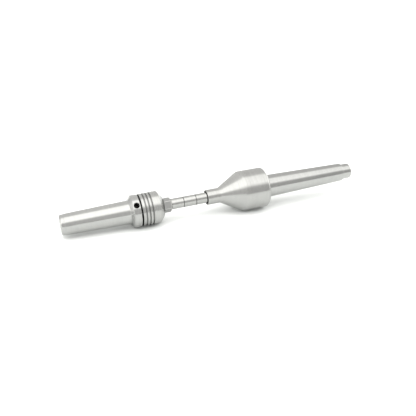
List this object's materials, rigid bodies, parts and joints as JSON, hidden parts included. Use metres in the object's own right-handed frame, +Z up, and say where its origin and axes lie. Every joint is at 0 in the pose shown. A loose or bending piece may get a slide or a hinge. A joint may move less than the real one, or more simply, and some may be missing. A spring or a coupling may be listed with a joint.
{
  "type": "live center mandrel assembly",
  "caption": "Pen-turning mandrel clamped in a collet drive arbor and carried by a bell-nosed, ball-bearing live center, with spacer bushings between and a Morse taper at each end.",
  "frame": {"origin": "on the axis of rotation, at the gauge plane of the tail shank's taper, just behind the bell", "axes": "+X along the axis towards the tail shank's tip, -X towards the drive arbor's small end, +Z up, the tommy hole faces -Y and +Z"},
  "size_m": [0.2378, 0.0316, 0.0316],
  "materials": {
    "ground_steel": "ground steel, satin, fine marks around the axis",
    "turned_steel": "turned steel, satin, visible turning lines",
    "bearing_steel": "polished bearing steel",
    "spring_steel": "oil-blackened spring steel",
    "bronze": "turned bronze",
    "brass_cage": "pressed brass",
    "rubber": "moulded nitrile rubber, matte"
  },
  "bodies": {
    "tail": {"live_center_shank": "ground_steel", "front_circlip": "spring_steel", "front_inner_ring": "bearing_steel", "inner_spacer": "turned_steel", "thrust_shaft_washer": "bearing_steel", "rear_circlip": "spring_steel", "rear_inner_ring": "bearing_steel"},
    "bell": {"bell_housing": "turned_steel", "nose_bush": "bronze", "front_outer_ring": "bearing_steel", "outer_spacer": "turned_steel", "thrust_housing_washer": "bearing_steel", "spring_sleeve": "turned_steel", "wave_spring": "spring_steel", "rear_outer_ring": "bearing_steel", "rear_cover": "turned_steel", "rear_seal": "rubber"},
    "front_ball_set": {"front_balls": "bearing_steel", "front_cage": "brass_cage"},
    "thrust_ball_set": {"thrust_balls": "bearing_steel", "thrust_cage": "brass_cage"},
    "rear_ball_set": {"rear_balls": "bearing_steel", "rear_cage": "brass_cage"},
    "right_bushing": {"bushing_right": "turned_steel"},
    "middle_bushing": {"bushing_middle": "turned_steel"},
    "left_bushing": {"bushing_left": "turned_steel"},
    "nut": {"collet_nut": "turned_steel", "extractor_ring": "spring_steel"},
    "collet": {"collet": "ground_steel"},
    "rod": {"mandrel_rod": "ground_steel"},
    "arbor": {"drive_arbor": "ground_steel"}
  },
  "joints": [
    {"name": "bell_spin", "type": "hinge", "parent": "tail", "child": "bell", "pos_m": [0, 0, 0], "axis": [1, 0, 0], "continuous": true},
    {"name": "front_balls_orbit", "type": "hinge", "parent": "tail", "child": "front_ball_set", "pos_m": [0, 0, 0], "axis": [1, 0, 0], "continuous": true},
    {"name": "thrust_balls_orbit", "type": "hinge", "parent": "tail", "child": "thrust_ball_set", "pos_m": [0, 0, 0], "axis": [1, 0, 0], "continuous": true},
    {"name": "rear_balls_orbit", "type": "hinge", "parent": "tail", "child": "rear_ball_set", "pos_m": [0, 0, 0], "axis": [1, 0, 0], "continuous": true},
    {"name": "right_bushing_slide", "type": "slide", "parent": "bell", "child": "right_bushing", "axis": [-1, 0, 0], "range_m": [0, 0.012]},
    {"name": "middle_bushing_slide", "type": "slide", "parent": "right_bushing", "child": "middle_bushing", "axis": [-1, 0, 0], "range_m": [0, 0.012]},
    {"name": "left_bushing_slide", "type": "slide", "parent": "middle_bushing", "child": "left_bushing", "axis": [-1, 0, 0], "range_m": [0, 0.012]},
    {"name": "drive_unit_slide", "type": "slide", "parent": "left_bushing", "child": "nut", "axis": [-1, 0, 0], "range_m": [0, 0.012]},
    {"name": "nut_turn", "type": "hinge", "parent": "nut", "child": "collet", "pos_m": [0, 0, 0], "axis": [-1, 0, 0], "range_deg": [0, 1710]},
    {"name": "nut_travel", "type": "slide", "parent": "collet", "child": "arbor", "axis": [-1, 0, 0], "range_m": [0, 0.00713]},
    {"name": "rod_slide", "type": "slide", "parent": "collet", "child": "rod", "axis": [1, 0, 0], "range_m": [-0.015, 0.015]}
  ],
  "couplings": [
    {"joint": "front_balls_orbit", "follows": "bell_spin", "ratio": 0.57273},
    {"joint": "thrust_balls_orbit", "follows": "bell_spin", "ratio": 0.5},
    {"joint": "rear_balls_orbit", "follows": "bell_spin", "ratio": 0.56154},
    {"joint": "nut_travel", "follows": "nut_turn", "m_per_rad": 0.00023873}
  ]
}
